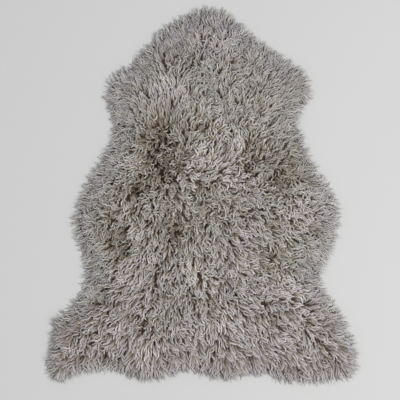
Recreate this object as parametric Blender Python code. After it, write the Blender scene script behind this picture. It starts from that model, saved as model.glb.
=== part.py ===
"""A sheepskin rug: one pelt lying flat with its wool side up.

Nothing is cut out of it, sewn on or fitted to it, so it is one closed solid. Its flat underside is
the tanned skin. Above that lies a lumpy slab of wool, thicker in the middle than at the rim, whose
tufts lean the way the wool is combed. All round the rim the slab parts into separate locks, which
hang over the edge of the skin and come to rest on the floor.

The origin is on the floor under the middle of the rug: +Y to the neck, +X to the pelt's right side
as seen from above, +Z up. Sizes are in metres unless a name ends in _mm.
"""

import math
import random
from dataclasses import dataclass

import bmesh
import bpy
from mathutils import Vector, noise
from mathutils.geometry import delaunay_2d_cdt, intersect_line_line_2d

MM = 0.001

# Driving sizes.
SKIN_THICKNESS = 2.0 * MM
SKIN_INSET = 7 * MM  # the skin's edge, in from the roots of the rim locks
PILE_HEIGHT = 36 * MM  # the wool in the middle of the rug, from the floor
RIM_TOP = 15 * MM  # the root of a rim lock, from its upper edge ...
RIM_BOTTOM = 3.5 * MM  # ... to its lower edge
SHOULDER_WIDTH = 62 * MM  # how far in from the rim the wool reaches its full height

# Rim locks.
LOCK_COUNT = 288
LOCK_REACH = 27 * MM  # from root to tip
LOCK_LONGEST = 1.10  # how far a lock reaches, as a share of the way to the outline ...
LOCK_UNEVEN = 0.30  # ... less up to this much, by chance
LOCK_HOOK = 0.16  # sideways bend of a lock, as a share of its reach
LOCK_COMBED = 0.45  # how much the combing turns a lock, against 1 for straight out of the rim
# The locks stand in pointed tufts: the middle ones are the longest, and the others lean to them.
LOCKS_IN_TUFT = (3, 6)
TUFT_POINT = 0.22  # how much shorter a tuft's side locks are
TUFT_GATHER = 0.45  # how far they lean in, in widths of a lock
# A lock's sections on its way out: share of the reach, width and height as shares of the root's.
LOCK_SECTIONS = (
    # way_out, width, height
    (0.36, 0.70, 0.62),
    (0.72, 0.44, 0.30),
)
# Neighbours are held apart at these places on their way out, with their widths there.
LOCK_WIDTHS = (
    # way_out, width
    (0.36, 0.70),
    (0.54, 0.57),
    (0.72, 0.44),
    (0.86, 0.22),
    (1.00, 0.00),
)
LOCK_CLEARANCE = 0.7 * MM
STRAIGHTENING_ROUNDS = 12
RIDGE_WIDTH = 0.6  # a lock's upper side, as a share of its lower one
TIP_CURL = 4 * MM  # the highest that a tip turns up off the floor

# The top of the slab is a loose net of triangles, and some of its points stand up as tufts.
NET_SPACING = 18.5 * MM
NET_UNEVEN = 0.26  # how far a point strays, as a share of the spacing
TUFT_SPACING = 29 * MM  # the least distance between two tufts
TUFT_RISE = 11.0 * MM
TUFT_SINK = 3.0 * MM  # how far the wool lies lower between them
TUFT_LEAN = 7.0 * MM
SWELL_SIZE = 95 * MM  # the slow rise and fall of the whole fleece
SWELL_HEIGHT = 5.0 * MM

# The underside is a net of larger triangles, one of them centred on the origin.
SKIN_NET = 120 * MM

# The outline that the tips of the wool reach, clockwise from the neck, seen from above.
OUTLINE_MM = (
    # place, x, y
    ("neck crown left", -16, 497),
    ("neck crown right", 38, 497),
    ("neck right", 84, 472),
    ("neck right low", 140, 420),
    ("shoulder right top", 200, 382),
    ("shoulder right", 266, 332),
    ("shoulder right low", 287, 272),
    ("foreleg notch right", 253, 206),
    ("side right high", 274, 134),
    ("side right", 315, 56),
    ("belly right", 362, -28),
    ("belly right low", 356, -112),
    ("waist right high", 326, -178),
    ("waist right", 312, -226),
    ("thigh right top", 346, -283),
    ("thigh right", 386, -349),
    ("hind leg right side", 411, -426),
    ("hind leg right", 405, -474),
    ("hind leg right foot", 350, -492),
    ("rump right", 222, -497),
    ("rump notch right", 163, -475),
    ("rump middle right", 90, -487),
    ("rump middle", 8, -482),
    ("rump notch", -37, -464),
    ("rump left", -140, -493),
    ("rump notch left", -246, -466),
    ("hind leg left inner", -325, -473),
    ("hind leg left foot", -388, -495),
    ("hind leg left", -413, -460),
    ("hind leg left side", -404, -389),
    ("thigh left", -397, -333),
    ("thigh left top", -342, -284),
    ("waist left", -315, -230),
    ("waist left high", -314, -180),
    ("belly left low", -337, -111),
    ("belly left", -344, -55),
    ("side left", -316, 24),
    ("side left high", -275, 93),
    ("foreleg notch left low", -243, 153),
    ("foreleg notch left", -241, 202),
    ("shoulder left low", -259, 249),
    ("shoulder left", -249, 308),
    ("shoulder left top", -180, 360),
    ("neck left low", -143, 408),
    ("neck left", -84, 460),
)

# The way the tips of the wool point, as a bearing from +X towards +Y.
COMBING = (
    # x_mm, y_mm, degrees
    (0, 460, 88),
    (98, 392, 65),
    (-167, 254, 132),
    (-48, 228, 68),
    (190, 267, 45),
    (-214, 169, 180),
    (230, 188, 15),
    (5, 122, 60),
    (-180, 29, 222),
    (-34, -24, 280),
    (230, 16, 320),
    (-299, -50, 190),
    (-74, -143, 272),
    (151, -116, 325),
    (-193, -235, 225),
    (177, -235, 340),
    (-220, -354, 232),
    (-8, -394, 288),
    (230, -368, 312),
    (-378, -455, 228),
    (394, -447, 308),
)
COMBING_SPREAD = 70 * MM  # how far a bearing holds before its neighbours take over

# Whorls and partings, where the wool lies apart and the fleece dips.
PARTINGS_MM = (
    # place, x, y, radius, depth
    ("whorl behind the left shoulder", -119, 135, 48, 11),
    ("parting above it", -82, 190, 30, 7),
    ("parting on the right back", 114, 82, 42, 9),
    ("parting on the chest", 50, 201, 32, 6),
    ("parting on the spine", -100, -77, 38, 7),
    ("whorl on the left rump", -161, -330, 46, 10),
)


def smooth_loop(points, steps=12):
    """A closed curve through the points, which leaves each one on its way from the last to the next."""
    headings = [
        (after - before).normalized()
        for before, after in zip(points[-1:] + points[:-1], points[1:] + points[:1])
    ]
    curve = []
    for i, start in enumerate(points):
        end = points[(i + 1) % len(points)]
        pull = (end - start).length
        leave, arrive = headings[i] * pull, headings[(i + 1) % len(points)] * pull
        for step in range(steps):
            t = step / steps
            curve.append(
                start * (2 * t**3 - 3 * t**2 + 1)
                + leave * (t**3 - 2 * t**2 + t)
                + end * (3 * t**2 - 2 * t**3)
                + arrive * (t**3 - t**2)
            )
    return curve


def even_loop(points, count):
    """The same closed line with count points at equal spacing."""
    ends = points[1:] + points[:1]
    lengths = [(b - a).length for a, b in zip(points, ends)]
    spacing = sum(lengths) / count
    even, i, passed = [], 0, 0.0
    for k in range(count):
        while passed + lengths[i] < k * spacing:
            passed += lengths[i]
            i += 1
        even.append(points[i].lerp(ends[i], (k * spacing - passed) / lengths[i]))
    return even


def relaxed(values, passes):
    """Each value of a closed row, averaged with its neighbours."""
    for _ in range(passes):
        values = [
            0.5 * v + 0.25 * (values[i - 1] + values[(i + 1) % len(values)])
            for i, v in enumerate(values)
        ]
    return values


def outward(loop):
    """The directions that point out of a clockwise closed line, one at each point."""
    alongs = [b - a for a, b in zip(loop[-1:] + loop[:-1], loop[1:] + loop[:1])]
    return [Vector((-along.y, along.x)).normalized() for along in alongs]


def inset_loop(loop, distance, passes=10):
    """A closed line drawn inside another, rounded off where it turns sharply."""
    inner = [p - n * distance for p, n in zip(loop, outward(loop))]
    return even_loop(relaxed(inner, passes), len(loop))


def combed(x, y):
    """The unit direction in which the wool's tips point at a place."""
    total = Vector((0, 0))
    for at_x, at_y, degrees in COMBING:
        apart = math.hypot(x - at_x * MM, y - at_y * MM) / COMBING_SPREAD
        bearing = math.radians(degrees)
        total += Vector((math.cos(bearing), math.sin(bearing))) / (1 + apart**4)
    return total.normalized()


def tuft_places(rng):
    """Where each rim lock stands in its tuft, from -1 at one side to 1 at the other."""
    places = []
    while len(places) < LOCK_COUNT:
        size = min(rng.randint(*LOCKS_IN_TUFT), LOCK_COUNT - len(places))
        places += [2 * (k + 0.5) / size - 1 for k in range(size)]
    return places


def reach_along(start, direction, outline):
    """How far it is from a point to the outline, along a direction."""
    far = start + direction * 4 * LOCK_REACH
    hits = [
        intersect_line_line_2d(start, far, a, b)
        for a, b in zip(outline, outline[1:] + outline[:1])
    ]
    return min((h - start).length for h in hits if h)


def surface_height(x, y, from_rim):
    """The fleece's height: a rounded shoulder, a slow swell and the dips at the partings."""
    rise = min(from_rim / SHOULDER_WIDTH, 1.0)
    shoulder = math.sin(rise * math.pi / 2) ** 0.8
    height = RIM_TOP + (PILE_HEIGHT - RIM_TOP) * shoulder
    height += shoulder * SWELL_HEIGHT * noise.noise(Vector((x, y, 0)) / SWELL_SIZE)
    for _, at_x, at_y, radius, depth in PARTINGS_MM:
        away = math.hypot(x - at_x * MM, y - at_y * MM) / (radius * MM)
        height -= depth * MM * shoulder * math.exp(-(away**2))
    return height


def net_points(loop, spacing, margin, corner):
    """The points of a net of even triangles that lie inside a closed line, clear of it."""
    row_step = spacing * math.sqrt(3) / 2
    most = int(1.5 * max(place.length for place in loop) / row_step)
    steps = range(-most, most + 1)
    net = [
        corner + Vector((spacing * (column + row / 2), row_step * row))
        for row in steps
        for column in steps
    ]
    return [place for place in net if inside(place, loop) and distance_to(place, loop) > margin]


def spread_out(places, least, rng):
    """The numbers of some of the places, picked by chance, with a least distance between them."""
    picked = []
    for i in rng.sample(range(len(places)), len(places)):
        if all((places[i] - places[k]).length > least for k in picked):
            picked.append(i)
    return set(picked)


def inside(place, loop):
    """Whether a place lies within a closed line."""
    crossings = sum(
        (a.y > place.y) != (b.y > place.y)
        and place.x < a.x + (place.y - a.y) / (b.y - a.y) * (b.x - a.x)
        for a, b in zip(loop, loop[1:] + loop[:1])
    )
    return crossings % 2 == 1


def distance_to(place, loop):
    """The distance from a place to the nearest point of a closed line."""
    return min((place - p).length for p in loop)


def triangulated(loop, extra):
    """Triangles, as index triples, that fill a closed line and use the extra points inside it."""
    places = list(loop) + list(extra)
    edges = [(i, (i + 1) % len(loop)) for i in range(len(loop))]
    _, _, faces, origins, _, _ = delaunay_2d_cdt(places, edges, [], 1, 1e-7)
    return [tuple(origins[v][0] for v in face) for face in faces]


def add_top(bm, roots, ring, rng):
    """The tufted top of the wool, whose rim corners carry their number round the rim."""
    pitch = (roots[1] - roots[0]).length
    net = net_points(roots, NET_SPACING, 0.85 * pitch, Vector((0, 0)))
    settled = [min(distance_to(place, roots) / (2 * NET_SPACING), 1.0) for place in net]
    stray = NET_UNEVEN * NET_SPACING
    net = [
        place + Vector((rng.uniform(-stray, stray), rng.uniform(-stray, stray))) * share
        for place, share in zip(net, settled)
    ]
    tufts = spread_out(net, TUFT_SPACING, rng)
    corners = []
    for i, place in enumerate(roots):
        corner = bm.verts.new((place.x, place.y, RIM_TOP))
        corner[ring] = i
        corners.append(corner)
    for i, place in enumerate(net):
        height = surface_height(place.x, place.y, distance_to(place, roots))
        if i in tufts:
            height += TUFT_RISE * rng.uniform(0.5, 1.0) * settled[i]
            lean = combed(place.x, place.y) * TUFT_LEAN * rng.uniform(0.5, 1.0)
            place = place + lean * settled[i]
        else:
            height -= TUFT_SINK * rng.uniform(0.2, 1.0) * settled[i]
        corners.append(bm.verts.new((place.x, place.y, height)))
    for triangle in triangulated(roots, net):
        bm.faces.new([corners[i] for i in triangle])
    for face in bm.faces:
        if face.normal.z < 0:
            face.normal_flip()


def extend_edge(bm, edges, loop, height, ring):
    """Extrude an open rim to a new closed line at a height, and give back its new edges."""
    made = bmesh.ops.extrude_edge_only(bm, edges=edges)["geom"]
    for corner in (v for v in made if isinstance(v, bmesh.types.BMVert)):
        place = loop[corner[ring]]
        corner.co = (place.x, place.y, height)
    new_edges = [e for e in made if isinstance(e, bmesh.types.BMEdge) and e.is_boundary]
    walls = [f for f in made if isinstance(f, bmesh.types.BMFace)]
    return new_edges, walls


def add_skin(bm, edges, skin, ring):
    """Close the underside with the flat skin."""
    rim = {v[ring]: v for e in edges for v in e.verts}
    middle = Vector((-SKIN_NET / 2, -SKIN_NET / (2 * math.sqrt(3))))
    net = net_points(skin, SKIN_NET, 0.25 * SKIN_NET, middle)
    corners = [rim[i] for i in range(len(skin))]
    corners += [bm.verts.new((place.x, place.y, 0)) for place in net]
    return [
        bm.faces.new([corners[i] for i in reversed(triangle)])
        for triangle in triangulated(skin, net)
    ]


@dataclass
class Lock:
    """The middle line of a rim lock, as seen from above."""

    start: Vector
    reach: Vector
    gather: Vector  # how far its tip leans to the middle of its tuft
    hook: Vector  # how far it bends aside on its way

    def at(self, way_out):
        """Its place at a share of its way from the root to the tip."""
        bend = self.hook * way_out * math.sin(way_out * math.pi * 0.8)
        return self.start + self.reach * way_out + self.gather * way_out**2 + bend

    def straighten(self):
        """Take part of its lean and its bend away."""
        self.gather = self.gather * 0.7
        self.hook = self.hook * 0.7

    def meets(self, other, pitch):
        """Whether the lock comes nearer to another than their widths and the clearance allow."""
        for way_out, width in LOCK_WIDTHS:
            for other_out, other_width in LOCK_WIDTHS:
                apart = (self.at(way_out) - other.at(other_out)).length
                if apart < (width + other_width) / 2 * pitch + LOCK_CLEARANCE:
                    return True
        return False


def lay_locks(roots, outline, rng):
    """The rim locks, in order, each one clear of its neighbours."""
    starts = [a.lerp(b, 0.5) for a, b in zip(roots, roots[1:] + roots[:1])]
    pitch = (roots[1] - roots[0]).length
    ways = [n + LOCK_COMBED * combed(p.x, p.y) for n, p in zip(outward(roots), roots)]
    ways = relaxed(ways, passes=6)
    locks = []
    for start, way, place in zip(starts, ways, tuft_places(rng)):
        way = way.normalized()
        side = Vector((-way.y, way.x))
        size = LOCK_LONGEST - TUFT_POINT * abs(place) - rng.uniform(0, LOCK_UNEVEN)
        reach = way * reach_along(start, way, outline) * size
        hook = side * rng.uniform(-1, 1) * LOCK_HOOK * LOCK_REACH
        locks.append(Lock(start, reach, side * place * TUFT_GATHER * pitch, hook))
    for _ in range(STRAIGHTENING_ROUNDS):
        for lock, after in zip(locks, locks[1:] + locks[:1]):
            if lock.meets(after, pitch):
                lock.straighten()
                after.straighten()
    return locks


def lock_number(face, ring):
    """Which lock a face of the rim wall, or one drawn out of it, belongs to."""
    numbers = {corner[ring] for corner in face.verts}
    return max(numbers) if numbers == {0, LOCK_COUNT - 1} else min(numbers)


def add_locks(bm, walls, roots, outline, ring, rng):
    """Draw each face of the rim wall out into a lock that comes to rest on the floor."""
    level = bm.verts.layers.int.new("level")
    for corner in {v for wall in walls for v in wall.verts}:
        corner[level] = int(corner.co.z > (RIM_TOP + RIM_BOTTOM) / 2)
    locks = lay_locks(roots, outline, rng)
    resting_from = LOCK_SECTIONS[-1][0]
    faces = walls
    for way_out, width, height in LOCK_SECTIONS:
        faces = bmesh.ops.extrude_discrete_faces(bm, faces=faces)["faces"]
        drop = RIM_BOTTOM * (1 - way_out / resting_from)
        tall = (RIM_TOP - RIM_BOTTOM) * height
        for face in faces:
            i = lock_number(face, ring)
            across = (roots[(i + 1) % LOCK_COUNT] - roots[i]) * width / 2
            for corner in face.verts:
                side = -1 if corner[ring] == i else 1
                narrowed = RIDGE_WIDTH if corner[level] else 1.0
                place = locks[i].at(way_out) + across * side * narrowed
                corner.co = (place.x, place.y, drop + tall * corner[level])
    for face in sorted(faces, key=lambda face: lock_number(face, ring)):
        place = locks[lock_number(face, ring)].at(1.0)
        tip = bmesh.ops.poke(bm, faces=[face])["verts"][0]
        tip.co = (place.x, place.y, rng.uniform(0, TIP_CURL))


def finish(name, colour, roughness):
    """A dull, non-metal material."""
    material = bpy.data.materials.new(name)
    material.use_nodes = True
    shader = material.node_tree.nodes["Principled BSDF"]
    shader.inputs["Base Color"].default_value = (*colour, 1)
    shader.inputs["Roughness"].default_value = roughness
    shader.inputs["Metallic"].default_value = 0
    return material


def make_sheepskin():
    """The whole pelt, as one closed solid."""
    outline = smooth_loop([Vector((x, y)) * MM for _, x, y in OUTLINE_MM])
    roots = inset_loop(even_loop(outline, LOCK_COUNT), LOCK_REACH)
    skin = inset_loop(roots, SKIN_INSET, passes=4)
    bm = bmesh.new()
    ring = bm.verts.layers.int.new("ring")
    add_top(bm, roots, ring, random.Random(7))
    rim = [e for e in bm.edges if e.is_boundary]
    rim, walls = extend_edge(bm, rim, roots, RIM_BOTTOM, ring)
    rim, _ = extend_edge(bm, rim, skin, SKIN_THICKNESS, ring)
    rim, skin_edge = extend_edge(bm, rim, skin, 0, ring)
    skin_faces = add_skin(bm, rim, skin, ring) + skin_edge
    for face in bm.faces:
        face.smooth = True
    for face in skin_faces:
        face.material_index = 1
        face.smooth = False
    add_locks(bm, walls, roots, outline, ring, random.Random(8))
    bmesh.ops.recalc_face_normals(bm, faces=bm.faces)
    bmesh.ops.triangulate(bm, faces=bm.faces)
    mesh = bpy.data.meshes.new("sheepskin")
    bm.to_mesh(mesh)
    bm.free()
    sheepskin = bpy.data.objects.new("sheepskin", mesh)
    bpy.context.scene.collection.objects.link(sheepskin)
    mesh.materials.append(finish("natural grey-beige wool", (0.33, 0.28, 0.24), 0.95))
    mesh.materials.append(finish("tanned sheep leather", (0.57, 0.43, 0.28), 0.80))
    return sheepskin


for old in list(bpy.data.objects):
    bpy.data.objects.remove(old)
make_sheepskin()
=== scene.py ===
# %% [markdown]
# # A sheepskin rug, wool side up
#
# The real rug is one tanned pelt with its own wool still growing on it. Seen from above it is all
# wool: thousands of wavy locks that lean outwards from a few whorls, pale at their tips and brown
# where they come out of the dense wool underneath.
#
# It could be a slab with a bumpy material, but bump has no outline and casts no shadow between two
# locks. It could be hair particles, but those don't leave Blender. So it is built in the order in
# which it grew: the skin, the dense undercoat, and then every lock as a small mesh of its own.

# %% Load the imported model
import math

import bmesh
import bpy
import numpy as np
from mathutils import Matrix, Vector, noise
from mathutils.kdtree import KDTree


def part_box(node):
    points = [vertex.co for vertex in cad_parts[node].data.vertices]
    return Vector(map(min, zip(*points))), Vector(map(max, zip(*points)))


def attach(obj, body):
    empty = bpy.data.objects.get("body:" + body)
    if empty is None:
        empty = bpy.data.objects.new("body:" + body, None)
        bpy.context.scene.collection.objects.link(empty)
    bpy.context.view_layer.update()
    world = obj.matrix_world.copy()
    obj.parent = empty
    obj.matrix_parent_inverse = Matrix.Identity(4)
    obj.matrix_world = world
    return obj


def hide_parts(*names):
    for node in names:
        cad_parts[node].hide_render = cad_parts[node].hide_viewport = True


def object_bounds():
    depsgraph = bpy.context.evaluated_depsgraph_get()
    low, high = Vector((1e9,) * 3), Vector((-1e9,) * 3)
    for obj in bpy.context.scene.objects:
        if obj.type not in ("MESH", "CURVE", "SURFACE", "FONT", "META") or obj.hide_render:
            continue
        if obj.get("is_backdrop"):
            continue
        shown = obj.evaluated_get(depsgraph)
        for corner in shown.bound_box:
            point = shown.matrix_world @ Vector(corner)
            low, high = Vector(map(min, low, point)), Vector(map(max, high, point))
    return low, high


MM = 0.001
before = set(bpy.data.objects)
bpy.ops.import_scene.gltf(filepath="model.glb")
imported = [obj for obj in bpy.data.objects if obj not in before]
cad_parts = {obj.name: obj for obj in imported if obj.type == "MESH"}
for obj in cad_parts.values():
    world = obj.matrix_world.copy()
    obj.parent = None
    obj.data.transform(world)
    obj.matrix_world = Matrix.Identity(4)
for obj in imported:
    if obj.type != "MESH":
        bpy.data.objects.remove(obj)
cad_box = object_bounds()
rug_low, rug_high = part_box("sheepskin")
print("the solid rug is", [round(side / MM) for side in rug_high - rug_low], "mm")

# %% [markdown]
# ## The view
#
# The rug lies on a floor and is seen from straight above. A camera high up with a long lens sees
# all of it without leaning the rim outwards. Its frame is a little wider than the rug is long.

# %% Camera straight above the rug
VIEW_WIDTH = 1058 * MM  # what the frame shows, at the height of the wool
VIEW_CENTRE = Vector((-7.9 * MM, -10.6 * MM))
CAMERA_HEIGHT = 2.3
WOOL_HEIGHT = 30 * MM
SENSOR_WIDTH = 36  # in mm, as the lens is
camera_data = bpy.data.cameras.new("camera")
camera_data.sensor_width = SENSOR_WIDTH
camera_data.lens = SENSOR_WIDTH * (CAMERA_HEIGHT - WOOL_HEIGHT) / VIEW_WIDTH
camera = bpy.data.objects.new("camera", camera_data)
camera.location = (*VIEW_CENTRE, CAMERA_HEIGHT)
bpy.context.scene.collection.objects.link(camera)
bpy.context.scene.camera = camera
print("lens", round(camera_data.lens), "mm")

# %% [markdown]
# ## Colours and nodes
#
# A colour is picked as a screen shows it, in sRGB, while Blender mixes light in linear values, so
# one function turns the first into the second. Another adds a node, sets it up and links it.

# %% Two helpers for every material
def linear(colour):
    """A hex colour as the linear red, green, blue and alpha that Blender works in."""
    parts = [int(colour.lstrip("#")[i : i + 2], 16) / 255 for i in (0, 2, 4)]
    return [p / 12.92 if p <= 0.04045 else ((p + 0.055) / 1.055) ** 2.4 for p in parts] + [1.0]


def add_node(material, kind, settings=(), inputs=(), links=()):
    """A node with its settings and input values, and links as (input, node, output)."""
    node = material.node_tree.nodes.new(kind)
    for name, value in dict(settings).items():
        setattr(node, name, value)
    for name, value in dict(inputs).items():
        node.inputs[name].default_value = value
    for name, source, output in links:
        material.node_tree.links.new(source.outputs[output], node.inputs[name])
    return node


# %% [markdown]
# ## The floor and the light
#
# A plain pale floor lets the ragged rim of the wool stand out. Wool is read by the shadows between
# its locks, and hard light would cut them black. So the light is a large soft source a little to
# one side, with a wide weak one from the other, and an even grey all round.

# %% Floor
FLOOR_SIZE = 12.0
bm = bmesh.new()
bmesh.ops.create_grid(bm, x_segments=1, y_segments=1, size=FLOOR_SIZE / 2)
floor_mesh = bpy.data.meshes.new("floor")
bm.to_mesh(floor_mesh)
bm.free()
floor = bpy.data.objects.new("floor", floor_mesh)
bpy.context.scene.collection.objects.link(floor)
floor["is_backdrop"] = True

floor_paint = bpy.data.materials.new("matt pale floor")
floor_paint.use_nodes = True
shader = floor_paint.node_tree.nodes["Principled BSDF"]
shader.inputs["Base Color"].default_value = linear("#c9c9c7")
shader.inputs["Roughness"].default_value = 0.85
floor.data.materials.append(floor_paint)

# %% Lights and surroundings
def add_softbox(name, place, size, power):
    """A square area light that faces the middle of the rug."""
    light = bpy.data.lights.new(name, "AREA")
    light.size = size
    light.energy = power
    lamp = bpy.data.objects.new(name, light)
    lamp.location = place
    lamp.rotation_euler = (-Vector(place)).to_track_quat("-Z", "Y").to_euler()
    bpy.context.scene.collection.objects.link(lamp)


add_softbox("key softbox", (2.4, -0.7, 4.2), 2.4, 178)
add_softbox("fill softbox", (-2.7, 0.6, 3.9), 3.0, 32)
world = bpy.data.worlds.new("studio")
world.use_nodes = True
world.node_tree.nodes["Background"].inputs["Color"].default_value = linear("#e4e6ea")
world.node_tree.nodes["Background"].inputs["Strength"].default_value = 0.52
bpy.context.scene.world = world
bpy.context.scene.view_settings.view_transform = "Standard"

# %% [markdown]
# ## The outline
#
# A pelt is opened along the belly and laid flat, so its outline shows the neck, the shoulders, two
# notches behind the forelegs, the belly, the waist and the hind legs. It is kept as a short table
# of places with the names of the animal's own parts, and a smooth closed curve runs through them.
# These are the places that the tips of the wool reach. The skin itself ends further in.

# %% The outline of the wool
OUTLINE_MM = (
    # place, x, y
    ("neck crown left", -16, 497),
    ("neck crown right", 38, 497),
    ("neck right", 84, 472),
    ("neck right low", 140, 420),
    ("shoulder right top", 200, 382),
    ("shoulder right", 266, 332),
    ("shoulder right low", 287, 272),
    ("foreleg notch right", 253, 206),
    ("side right high", 274, 134),
    ("side right", 315, 56),
    ("belly right", 362, -28),
    ("belly right low", 356, -112),
    ("waist right high", 326, -178),
    ("waist right", 312, -226),
    ("thigh right top", 346, -283),
    ("thigh right", 386, -349),
    ("hind leg right side", 411, -426),
    ("hind leg right", 405, -474),
    ("hind leg right foot", 350, -492),
    ("rump right", 222, -497),
    ("rump notch right", 163, -475),
    ("rump middle right", 90, -487),
    ("rump middle", 8, -482),
    ("rump notch", -37, -464),
    ("rump left", -140, -493),
    ("rump notch left", -246, -466),
    ("hind leg left inner", -325, -473),
    ("hind leg left foot", -388, -495),
    ("hind leg left", -413, -460),
    ("hind leg left side", -404, -389),
    ("thigh left", -397, -333),
    ("thigh left top", -342, -284),
    ("waist left", -315, -230),
    ("waist left high", -314, -180),
    ("belly left low", -337, -111),
    ("belly left", -344, -55),
    ("side left", -316, 24),
    ("side left high", -275, 93),
    ("foreleg notch left low", -243, 153),
    ("foreleg notch left", -241, 202),
    ("shoulder left low", -259, 249),
    ("shoulder left", -249, 308),
    ("shoulder left top", -180, 360),
    ("neck left low", -143, 408),
    ("neck left", -84, 460),
)


def smooth_loop(places, steps=12):
    """A closed curve through the places, heading at each from the one before to the one after."""
    ends = np.roll(places, -1, axis=0)
    headings = ends - np.roll(places, 1, axis=0)
    headings /= np.linalg.norm(headings, axis=1)[:, None]
    pull = np.linalg.norm(ends - places, axis=1)[:, None]
    t = (np.arange(steps) / steps)[:, None, None]
    curve = (
        places * (2 * t**3 - 3 * t**2 + 1)
        + headings * pull * (t**3 - 2 * t**2 + t)
        + ends * (3 * t**2 - 2 * t**3)
        + np.roll(headings, -1, axis=0) * pull * (t**3 - t**2)
    )
    return curve.transpose(1, 0, 2).reshape(-1, 2)


outline = smooth_loop(np.array([(x, y) for _, x, y in OUTLINE_MM]) * MM)
print("the outline has", len(outline), "points")

# %% [markdown]
# ## Distances from the rim
#
# Nearly everything about a fleece depends on how far it is from the rim: the wool gets thinner, and
# its locks lie flatter and point outwards. So two questions are asked of many places at once: how
# far it is to the outline, with a minus sign outside it, and how far it is along a direction. A
# third helper draws the outline again further in.

# %% Measuring towards the outline
def from_rim(places):
    """How far each place is inside the outline, in metres, and below zero outside it."""
    starts, ends = outline, np.roll(outline, -1, axis=0)
    along = ends - starts
    nearest = np.full(len(places), np.inf)
    crossings = np.zeros(len(places), int)
    x, y = places.T
    for (x0, y0), (x1, y1), (dx, dy) in zip(starts, ends, along):
        t = np.clip(((x - x0) * dx + (y - y0) * dy) / (dx * dx + dy * dy), 0, 1)
        nearest = np.minimum(nearest, np.hypot(x - x0 - t * dx, y - y0 - t * dy))
        if y0 != y1:
            crossings += ((y0 > y) != (y1 > y)) & (x < x0 + (y - y0) / (y1 - y0) * (x1 - x0))
    return np.where(crossings % 2 == 1, nearest, -nearest)


def room_ahead(places, bearings, farthest=0.2):
    """How far each place may go along its bearing before it reaches the outline."""
    starts, ends = outline, np.roll(outline, -1, axis=0)
    ux, uy = np.cos(bearings), np.sin(bearings)
    room = np.full(len(places), farthest)
    for (x0, y0), (x1, y1) in zip(starts, ends):
        across = ux * (y1 - y0) - uy * (x1 - x0)
        across = np.where(np.abs(across) < 1e-12, 1e-12, across)
        away_x, away_y = x0 - places[:, 0], y0 - places[:, 1]
        ahead = (away_x * (y1 - y0) - away_y * (x1 - x0)) / across
        at = (away_x * uy - away_y * ux) / across
        room = np.where((at >= 0) & (at <= 1) & (ahead > 0) & (ahead < room), ahead, room)
    return room


def inset_loop(distance, count, passes=10):
    """A closed line of count evenly spaced points, drawn inside the outline and rounded off."""
    along = np.roll(outline, -1, axis=0) - np.roll(outline, 1, axis=0)
    inward = np.stack([along[:, 1], -along[:, 0]], axis=1)
    inner = outline + inward / np.linalg.norm(inward, axis=1)[:, None] * distance
    for _ in range(passes):
        inner = inner / 2 + (np.roll(inner, 1, axis=0) + np.roll(inner, -1, axis=0)) / 4
    ring = np.vstack([inner, inner[:1]])
    passed = np.concatenate([[0], np.cumsum(np.linalg.norm(np.diff(ring, axis=0), axis=1))])
    marks = np.arange(count) / count * passed[-1]
    return np.stack([np.interp(marks, passed, ring[:, i]) for i in (0, 1)], axis=1)


print("the middle of the rug is", round(from_rim(np.zeros((1, 2)))[0] / MM), "mm from its rim")

# %% [markdown]
# ## How the wool is combed
#
# Wool has a direction at every place. On this pelt it runs out from a whorl behind the left
# shoulder and from a few partings, towards the rim all round. A table holds the bearing that the
# tips have at some places, and how tangled the wool is there: 0 is combed straight, 1 points
# anywhere. At a place between them, the nearer rows count most.

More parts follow.
